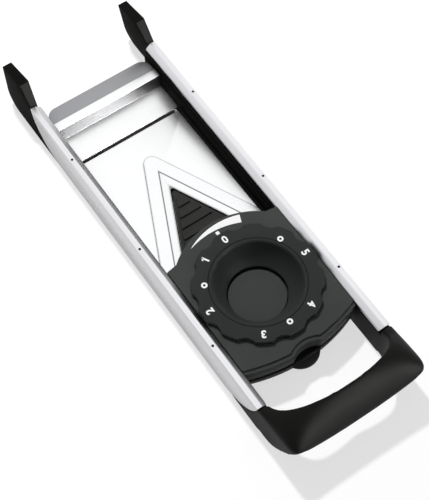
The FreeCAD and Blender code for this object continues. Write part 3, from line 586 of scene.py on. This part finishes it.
def plastic(name, colour, grain, smooth, rough, gloss, contrast=0.10, bump=0.00001):
    """Moulded plastic with a fine grain."""
    grains = {"Grain": grain, "Smooth": smooth, "Rough": rough}
    wear_and_shade = {"Reach": RUB_REACH, "Amount": PLASTIC_RUB, "Evenness": 0.0}
    rubbed = shade([channel + PLASTIC_LIFT for channel in colour], PLASTIC_PALE)
    material, shader = textured_material(
        name, colour, contrast, bump, moulded_grain_group, grains, rubbed, wear_and_shade)
    shader.inputs["Specular IOR Level"].default_value = gloss
    return material


def paint_over(tree, mask, colour):
    """Lay a colour over a material's own colour where a mask says."""
    colour_in = tree.nodes["Principled BSDF"].inputs["Base Color"]
    plain = colour_in.links[0].from_socket
    tree.links.new(blend_colours(tree, mask, plain, colour), colour_in)


def paint_shade_line(tree, distance, at, colour):
    """Paint a fine line of shade into a material's colour where a distance has one value."""
    from_line = math_node(tree, "ABSOLUTE", math_node(tree, "SUBTRACT", distance, at))
    line = spread(tree, from_line, (2 * LINE_HALF_WIDTH, LINE_HALF_WIDTH / 2))
    paint_over(tree, line, colour)


def plate_metal(name, finishes):
    """Stainless steel, brushed along the rails."""
    return metal(name, finishes.steel, ALONG_RAILS, smooth=0.30, rough=0.40, contrast=0.02)


def charcoal_plastic(name, colour):
    """Half-matt plastic of the dial and its bridge."""
    return plastic(name, colour, grain=4200.0, smooth=0.50, rough=0.62, gloss=0.07, contrast=0.07)


def drawn_rail_metal(finishes):
    """Anodised aluminium, drawn along the rails."""
    return metal("drawn_rail_metal", finishes.rail, ALONG_RAILS, smooth=0.26, rough=0.40, contrast=0.06)


def matt_lip_metal(finishes):
    """Matt aluminium of the end lip."""
    return metal("matt_lip_metal", finishes.lip, ACROSS_RAILS, smooth=0.42, rough=0.55)


def brushed_plate_metal(finishes):
    """Plain steel of the receiving plate."""
    return plate_metal("brushed_plate_metal", finishes)


def folded_plate_metal(finishes):
    """Steel of the end plate, painted darker on the upright face of its fold to stand in for its dimmer
    reflection.
    """
    material = plate_metal("folded_plate_metal", finishes)
    tree = material.node_tree
    up = axes_of(tree, object_place(tree))["Z"]
    above_flat = spread(tree, up, (plate_high.z + FOLD_BLEND, plate_high.z + 2 * FOLD_BLEND))
    below_strip = spread(tree, up, (end_plate_high.z - FOLD_BLEND, end_plate_high.z - 2 * FOLD_BLEND))
    upright = math_node(tree, "MULTIPLY", above_flat, below_strip)
    # Painted reflection: the upright face is darkened to stand in for the dimmer room it mirrors
    paint_over(tree, upright, shade(finishes.steel, FOLD_PAINTED_SHADE))
    return material


def ground_blade_metal(finishes):
    """Ground steel with painted shade along its edges and a painted dark line where the bevel of the V
    begins.
    """
    # Painted shade: the even edge mask darkens the blade's edges to a tenth of its colour
    material = metal("ground_blade_metal", finishes.blade, ACROSS_RAILS, smooth=0.27, rough=0.28,
                     contrast=0.02, bump=GROUND_DEPTH, edge_shade=0.1, edge_reach=0.0014, evenness=1.0)
    tree = material.node_tree
    axes = axes_of(tree, object_place(tree))
    from_middle = math_node(tree, "ABSOLUTE", axes["X"])
    beyond_apex = math_node(tree, "SUBTRACT", axes["Y"], V_APEX_Y)
    slanted = math_node(tree, "MULTIPLY", beyond_apex, math.tan(V_HALF_ANGLE))
    edge_run = math_node(tree, "ADD", from_middle, slanted)
    from_edge = math_node(tree, "MULTIPLY", edge_run, math.cos(V_HALF_ANGLE))
    # Painted shade: a dark line where the bevel's facet begins, standing in for its change of reflection
    paint_shade_line(tree, from_edge, BEVEL_WIDTH, shade(finishes.blade, BEVEL_LINE_PAINTED_SHADE))
    return material


def blackened_pin_metal(finishes):
    """Blackened steel of the rail pins."""
    return metal("blackened_pin_metal", finishes.dark_steel, ALONG_RAILS, smooth=0.35, rough=0.5)


def bright_screw_metal(finishes):
    """Plain steel of screws, pins and rings."""
    return metal("bright_screw_metal", finishes.screw, ACROSS_RAILS, smooth=0.25, rough=0.4)


def black_moulding(finishes):
    """Matt black plastic of the beams."""
    return plastic("black_moulding", finishes.black, grain=5200.0, smooth=0.58, rough=0.70, gloss=0.010)


def handle_black(finishes):
    """Black plastic of the handle, with a soft sheen."""
    return plastic("handle_black", finishes.black, grain=5200.0, smooth=0.47, rough=0.55, gloss=0.05)


def soft_foot_rubber(finishes):
    """Coarser, matt rubber of the foot pads."""
    return plastic("soft_foot_rubber", finishes.rubber, grain=3600.0, smooth=0.60, rough=0.74, gloss=0.10,
                   bump=0.00002)


def bridge_charcoal(finishes):
    """Charcoal plastic of the bridge and the bowl's floor."""
    return charcoal_plastic("bridge_charcoal", finishes.charcoal)


def dial_charcoal(finishes):
    """Charcoal plastic with a painted line of shade for a fine turned groove around the finger bowl."""
    material = charcoal_plastic("dial_charcoal", finishes.dial)
    tree = material.node_tree
    from_axis = vector_math(tree, "SUBTRACT", object_place(tree), (DIAL_CENTRE.x, DIAL_CENTRE.y, 0.0))
    flat = vector_math(tree, "MULTIPLY", from_axis, (1.0, 1.0, 0.0))
    radius = vector_math(tree, "LENGTH", flat)
    # Painted shade: a dark line stands for the shade in the turned groove
    paint_shade_line(tree, radius, TURNED_LINE_RADIUS, shade(finishes.dial, TURNED_LINE_PAINTED_SHADE))
    return material


def ramp_black(finishes):
    """Dark plastic of the ramp."""
    return plastic("ramp_black", finishes.ramp, grain=4200.0, smooth=0.44, rough=0.56, gloss=0.08)


def pale_bush_plastic(finishes):
    """Pale slippery plastic of bushes and washer."""
    return plastic("pale_bush_plastic", finishes.bush, grain=3000.0, smooth=0.40, rough=0.50, gloss=0.40,
                   contrast=0.04)


def mark_print(finishes):
    """White print of the marks."""
    return plastic("mark_print", finishes.mark, grain=6000.0, smooth=0.45, rough=0.60, gloss=0.30,
                   contrast=0.03, bump=0.000005)


class SLICER_OT_rails(bpy.types.Operator):
    """Round the two rails, give them drawn aluminium and finish their pins"""

    bl_idname = "slicer.rails"
    bl_label = "Rails"

    def execute(self, context):
        radius = context.scene.slicer_edges.rail
        for side in ("left", "right"):
            rounded_skin(side + "_rail", radius, drawn_rail_metal)
            finish_node(side + "_rail_pins", blackened_pin_metal)
        return {"FINISHED"}


class SLICER_OT_beams(bpy.types.Operator):
    """Round the black beams with their feet and the pads on the feet"""

    bl_idname = "slicer.beams"
    bl_label = "Beams and feet"

    def execute(self, context):
        edges = context.scene.slicer_edges
        for side in ("left", "right"):
            beam = skin_of(side + "_beam")
            round_edges_beyond(beam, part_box(side + "_foot_pad")[1].y, edges.foot)
            round_sharp_edges(beam, edges.moulding)
            finish_skin(beam, side + "_beam", black_moulding)
            rounded_skin(side + "_foot_pad", edges.moulding, soft_foot_rubber)
        return {"FINISHED"}


class SLICER_OT_handle(bpy.types.Operator):
    """Give the handle bow one soft continuous skin"""

    bl_idname = "slicer.handle"
    bl_label = "Handle"

    def execute(self, context):
        edges = context.scene.slicer_edges
        piece = skin_of("handle_bow")
        apply_modifier(piece, "REMESH", mode="VOXEL", voxel_size=edges.handle_voxel, use_smooth_shade=True)
        bow = piece.vertex_groups.new(name="bow")
        for vertex in piece.data.vertices:
            share = min(max((RAILS_NEAR_Y - vertex.co.y) / BOW_BLEND, 0.0), 1.0)
            bow.add([vertex.index], share, "REPLACE")
        apply_modifier(piece, "SMOOTH", factor=0.5, iterations=edges.arm_passes)
        apply_modifier(piece, "SMOOTH", factor=0.5, iterations=edges.bow_passes, vertex_group="bow")
        finish_skin(piece, "handle_bow", handle_black)
        return {"FINISHED"}


class SLICER_OT_plates(bpy.types.Operator):
    """Round the sheet metal: receiving plates and end lip, and finish the V blade"""

    bl_idname = "slicer.plates"
    bl_label = "Plates and blade"

    def execute(self, context):
        radius = context.scene.slicer_edges.sheet
        rounded_skin("blade_plate", radius, brushed_plate_metal)
        rounded_skin("end_plate", radius, folded_plate_metal)
        rounded_skin("end_lip", radius, matt_lip_metal)
        finish_node("v_blade", ground_blade_metal)
        return {"FINISHED"}


class SLICER_OT_bridge(bpy.types.Operator):
    """Round the bridge that carries the dial"""

    bl_idname = "slicer.bridge"
    bl_label = "Bridge"

    def execute(self, context):
        rounded_skin("dial_bridge", context.scene.slicer_edges.bridge, bridge_charcoal)
        return {"FINISHED"}


class SLICER_OT_dial(bpy.types.Operator):
    """Round the lobed dial and its finger bowl"""

    bl_idname = "slicer.dial"
    bl_label = "Dial"

    def execute(self, context):
        rounded_skin("thickness_dial", context.scene.slicer_edges.dial, dial_charcoal)
        return {"FINISHED"}


class SLICER_OT_ramp(bpy.types.Operator):
    """Round the ramp with its V tip and thumb tab"""

    bl_idname = "slicer.ramp"
    bl_label = "Ramp"

    def execute(self, context):
        piece = rounded_skin("ramp", context.scene.slicer_edges.ramp, ramp_black)
        piece.data.materials.append(material_named(bridge_charcoal))
        for face in piece.data.polygons:
            reach = (face.center - DIAL_CENTRE).xy.length
            in_bowl = reach < BOWL_FLOOR_RADIUS and face.center.z > BOWL_FLOOR_LOW
            face.material_index = 1 if in_bowl else 0
        return {"FINISHED"}


def around_dial(radius, angle, height):
    """Point at a radius and an angle around the dial's axis."""
    across = DIAL_CENTRE.x + radius * math.cos(angle)
    along = DIAL_CENTRE.y + radius * math.sin(angle)
    return Vector((across, along, height))


def place_mark(piece, circle, turn, surface):
    """Move a flat mark from the origin to its place around the dial, top outwards, into its mesh."""
    angle = math.radians(turn)
    turned = Matrix.Rotation(angle - math.pi / 2, 4, "Z")
    piece.data.transform(Matrix.Translation(around_dial(circle, angle, surface)) @ turned)


def thicken_mark(piece, relief):
    """Turn a flat face into a low solid that is sunk a little into its surface."""
    open_mesh(piece)
    bpy.ops.transform.translate(value=(0, 0, -relief))
    bpy.ops.mesh.extrude_region_move(TRANSFORM_OT_translate={"value": (0, 0, 2 * relief)})
    bpy.ops.mesh.select_all(action="SELECT")
    bpy.ops.mesh.normals_make_consistent(inside=False)
    close_mesh()


def make_digit(text, marks):
    """One numeral as a low solid, centred on the origin."""
    bpy.ops.object.select_all(action="DESELECT")
    bpy.ops.object.text_add()
    letter = bpy.context.object
    letter.data.body = text
    letter.data.size = marks.digit_height
    letter.data.offset = marks.digit_weight
    letter.data.resolution_u = 6
    letter.data.extrude = marks.relief
    make_active(letter)
    bpy.ops.object.convert(target="MESH")
    corners = [vertex.co for vertex in letter.data.vertices]
    low = Vector(map(min, zip(*corners)))
    high = Vector(map(max, zip(*corners)))
    growth = marks.digit_height / (high.y - low.y)
    letter.data.transform(Matrix.Translation(-(low + high) / 2))
    letter.data.transform(Matrix.Diagonal((growth, growth, 1.0, 1.0)))
    return letter


def make_flag(marks):
    """Slanted upstroke of the numeral one, with its end at the stem's top."""
    height = marks.digit_height
    bpy.ops.object.select_all(action="DESELECT")
    bpy.ops.mesh.primitive_plane_add(size=1.0)
    flag = bpy.context.object
    flag.data.transform(Matrix.Diagonal((height * FLAG_LENGTH, height * FLAG_WIDTH, 1.0, 1.0)))
    flag.data.transform(Matrix.Rotation(FLAG_SLANT, 4, "Z"))
    flag.data.transform(Matrix.Translation((-height * FLAG_LEFT, height * FLAG_RISE, 0.0)))
    thicken_mark(flag, marks.relief)
    return flag


def make_ring(marks):
    """One half-step ring as a low solid, centred on the origin."""
    bpy.ops.object.select_all(action="DESELECT")
    bpy.ops.mesh.primitive_circle_add(vertices=40, radius=marks.ring_outer, fill_type="NGON")
    piece = bpy.context.object
    open_mesh(piece)
    bpy.ops.mesh.select_mode(type="FACE")
    bpy.ops.mesh.inset(thickness=marks.ring_stroke)
    bpy.ops.mesh.delete(type="FACE")
    close_mesh()
    thicken_mark(piece, marks.relief)
    return piece


def make_index_dot(marks):
    """Small square index with rounded corners, centred on the origin."""
    bpy.ops.object.select_all(action="DESELECT")
    bpy.ops.mesh.primitive_plane_add(size=marks.dot_side)
    piece = bpy.context.object
    open_mesh(piece)
    bpy.ops.mesh.bevel(offset=marks.dot_side * DOT_CORNER, segments=3, affect="VERTICES")
    close_mesh()
    thicken_mark(piece, marks.relief)
    return piece


def make_sweep(marks):
    """Tapered sweep on the bridge: a strip bent round the dial, from a wide end to a point."""
    bpy.ops.object.select_all(action="DESELECT")
    bpy.ops.mesh.primitive_grid_add(x_subdivisions=48, y_subdivisions=1, size=1.0)
    piece = bpy.context.object
    for vertex in piece.data.vertices:
        along = vertex.co.x + 0.5
        angle = marks.sweep_start + along * (marks.sweep_end - marks.sweep_start)
        wide = marks.sweep_outer if vertex.co.y > 0 else marks.sweep_inner
        radius = wide + (marks.sweep_point - wide) * along ** SWEEP_TAPER
        vertex.co = around_dial(radius, angle, BRIDGE_TOP)
    thicken_mark(piece, marks.relief)
    return piece


def joined(pieces):
    """Join pieces into one object with its origin at the frame's."""
    make_active(pieces[0])
    for piece in pieces:
        piece.select_set(True)
    bpy.ops.object.join()
    return bpy.context.object


def finish_mark(piece, name, body):
    """Name a mark, give it white print and let it ride on a body."""
    piece.name = name
    give_finish(piece.data, mark_print)
    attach(piece, body)


class SLICER_OT_marks(bpy.types.Operator):
    """Add the white numerals, half-step rings, index dot and tapered sweep"""

    bl_idname = "slicer.marks"
    bl_label = "Marks"

    def execute(self, context):
        marks = context.scene.slicer_marks
        strokes = []
        for text, turn in DIGIT_TURNS.items():
            numeral = [make_digit(text, marks)]
            if text == "1":
                numeral.append(make_flag(marks))
            for stroke in numeral:
                place_mark(stroke, marks.digit_circle, turn, DIAL_TOP)
            strokes += numeral
        finish_mark(joined(strokes), "dial_numerals", "dial")
        rings = []
        for turn in HALF_STEP_TURNS:
            ring = make_ring(marks)
            place_mark(ring, marks.ring_circle, turn, DIAL_TOP)
            rings.append(ring)
        finish_mark(joined(rings), "half_step_rings", "dial")
        dot = make_index_dot(marks)
        place_mark(dot, marks.dot_circle, DIGIT_TURNS["0"], BRIDGE_TOP)
        finish_mark(dot, "index_dot", "frame")
        finish_mark(make_sweep(marks), "tapered_sweep", "frame")
        return {"FINISHED"}


class SLICER_OT_hardware(bpy.types.Operator):
    """Finish the screws, rivets, rings, leaf, pins and bushes inside"""

    bl_idname = "slicer.hardware"
    bl_label = "Hardware"

    def execute(self, context):
        steel_nodes = ("handle_screws", "end_screws", "bridge_screws", "detent_rivets", "retaining_ring",
                       "detent_leaf", "cam_follower", "guide_pins")
        for node in steel_nodes:
            finish_node(node, bright_screw_metal)
        for node in ("guide_bushes", "dial_washer"):
            finish_node(node, pale_bush_plastic)
        return {"FINISHED"}


def rays(tree):
    """Masks of the rays that see a thing straight, and of those that see it mirrored or through glass."""
    path = tree.nodes.new("ShaderNodeLightPath").outputs
    mirrored = math_node(tree, "MAXIMUM", path["Is Glossy Ray"], path["Is Transmission Ray"])
    return path["Is Camera Ray"], mirrored


def beyond_plates(tree):
    """Mask of the floor that is 0 in the shade under the plates and 1 beyond them."""
    axes = axes_of(tree, object_place(tree))
    middle = (plate_low.y + end_plate_high.y) / 2
    half_length = (end_plate_high.y - plate_low.y) / 2
    from_middle = math_node(tree, "ABSOLUTE", math_node(tree, "SUBTRACT", axes["Y"], middle))
    beyond_end = math_node(tree, "SUBTRACT", from_middle, half_length)
    beyond_side = math_node(tree, "SUBTRACT", math_node(tree, "ABSOLUTE", axes["X"]), plate_high.x)
    beyond = math_node(tree, "MAXIMUM", beyond_end, beyond_side)
    return spread(tree, beyond, (-FLOOR_SHADE_BLEND, 0.0))


def make_floor(colour, glow):
    """Pale floor, lifted to white where it is looked at but not in the shade under the slicer."""
    bpy.ops.object.select_all(action="DESELECT")
    bpy.ops.mesh.primitive_plane_add(size=FLOOR_SIDE, location=(0, 0, cad_low.z - FLOOR_GAP))
    floor = bpy.context.object
    floor.name = "floor"
    material, tree, shader = new_material("pale_floor")
    shader.inputs["Base Color"].default_value = (*colour, 1.0)
    shader.inputs["Roughness"].default_value = 0.9
    shader.inputs["Specular IOR Level"].default_value = 0.1
    looked_at = math_node(tree, "MAXIMUM", *rays(tree))
    light = math_node(tree, "MULTIPLY", beyond_plates(tree), looked_at)
    tree.links.new(blend_colours(tree, light, BLACK, WHITE), shader.inputs["Emission Color"])
    shader.inputs["Emission Strength"].default_value = glow
    floor.data.materials.append(material)


def white_background(tree, node, strength):
    """Make a background node white, with a number or an output as its strength."""
    node.inputs["Color"].default_value = (*WHITE, 1.0)
    feed(tree, node.inputs["Strength"], strength)
    return node.outputs[0]


def mix_shaders(tree, share, first, second):
    """Shader that goes from the first to the second with a share."""
    node = tree.nodes.new("ShaderNodeMixShader")
    for socket, output in zip(node.inputs, (share, first, second)):
        tree.links.new(output, socket)
    return node.outputs[0]


def make_sky(studio):
    """Even light all round, white to the eye; mirrored, a room bright at the key light and in front."""
    world = bpy.data.worlds.new("studio")
    bpy.context.scene.world = world
    world.use_nodes = True
    tree = world.node_tree
    direction = tree.nodes.new("ShaderNodeTexCoord").outputs["Generated"]
    towards_key = vector_math(tree, "DOT_PRODUCT", direction, Vector(studio.key_place).normalized())
    room_light = spread(tree, towards_key, AWAY_TO_KEY, studio.sky_dim, studio.sky_bright)
    axes = axes_of(tree, direction)
    front_light = spread(tree, axes["X"], LEFT_TO_RIGHT, studio.front_dim, studio.front_bright)
    mirrored_light = spread(tree, axes["Y"], SIDE_TO_FRONT, room_light, front_light)
    even = white_background(tree, tree.nodes["Background"], studio.sky)
    room = white_background(tree, tree.nodes.new("ShaderNodeBackground"), mirrored_light)
    backdrop = white_background(tree, tree.nodes.new("ShaderNodeBackground"), 1.0)
    seen, mirrored = rays(tree)
    unseen = mix_shaders(tree, mirrored, even, room)
    tree.links.new(mix_shaders(tree, seen, unseen, backdrop), tree.nodes["World Output"].inputs["Surface"])


def make_key_light(studio):
    """Soft lamp high beyond the far feet, a little to the right, aimed at the middle of the slicer."""
    lamp = bpy.data.lights.new("key_light", "AREA")
    lamp.energy = studio.key_power
    lamp.size = studio.key_side
    holder = bpy.data.objects.new("key_light", lamp)
    holder.location = studio.key_place
    holder.rotation_euler = Vector(studio.key_place).to_track_quat("Z", "Y").to_euler()
    holder.visible_glossy = False
    bpy.context.scene.collection.objects.link(holder)


def make_camera(studio):
    """Camera high above the handle's end, on the left."""
    camera = bpy.data.cameras.new("camera")
    camera.lens = studio.lens
    camera.sensor_width = 36.0
    camera.clip_start = 0.01
    camera.clip_end = 20.0
    holder = bpy.data.objects.new("camera", camera)
    turn = Matrix.Rotation(studio.azimuth, 4, "Z")
    tilt = Matrix.Rotation(math.pi / 2 - studio.elevation, 4, "X")
    roll = Matrix.Rotation(studio.roll, 4, "Z")
    holder.matrix_world = Matrix.Translation(studio.camera_place) @ turn @ tilt @ roll
    bpy.context.scene.collection.objects.link(holder)
    bpy.context.scene.camera = holder


class SLICER_OT_stage(bpy.types.Operator):
    """Set up the pale floor, the light and the camera"""

    bl_idname = "slicer.stage"
    bl_label = "Stage"

    def execute(self, context):
        studio = context.scene.slicer_studio
        context.scene.view_settings.view_transform = "Standard"
        make_floor(context.scene.slicer_finishes.floor, studio.floor_glow)
        make_sky(studio)
        make_key_light(studio)
        make_camera(studio)
        return {"FINISHED"}


STEPS = (
    SLICER_OT_rails,
    SLICER_OT_beams,
    SLICER_OT_handle,
    SLICER_OT_plates,
    SLICER_OT_bridge,
    SLICER_OT_dial,
    SLICER_OT_ramp,
    SLICER_OT_marks,
    SLICER_OT_hardware,
    SLICER_OT_stage,
)

GROUPS = {
    "slicer_edges": SlicerEdges,
    "slicer_marks": SlicerMarks,
    "slicer_finishes": SlicerFinishes,
    "slicer_studio": SlicerStudio,
}


class SLICER_PT_panel(bpy.types.Panel):
    """Buttons that build the slicer's looks, in order, and the values they use"""

    bl_label = "Mandoline Slicer"
    bl_idname = "SLICER_PT_panel"
    bl_space_type = "VIEW_3D"
    bl_region_type = "UI"
    bl_category = "Slicer"

    def draw(self, context):
        for step in STEPS:
            self.layout.operator(step.bl_idname)
        for name, group in GROUPS.items():
            column = self.layout.column()
            for label in group.__annotations__:
                column.prop(getattr(context.scene, name), label)


def register():
    """Add the property groups, operators and panel."""
    for name, group in GROUPS.items():
        bpy.utils.register_class(group)
        setattr(bpy.types.Scene, name, bpy.props.PointerProperty(type=group))
    for step in STEPS:
        bpy.utils.register_class(step)
    bpy.utils.register_class(SLICER_PT_panel)


def unregister():
    """Remove what register added."""
    bpy.utils.unregister_class(SLICER_PT_panel)
    for step in reversed(STEPS):
        bpy.utils.unregister_class(step)
    for name, group in GROUPS.items():
        delattr(bpy.types.Scene, name)
        bpy.utils.unregister_class(group)


def main():
    """Build the looks in order."""
    register()
    for step in STEPS:
        getattr(bpy.ops.slicer, step.bl_idname.split(".")[1])()


if __name__ == "__main__":
    main()
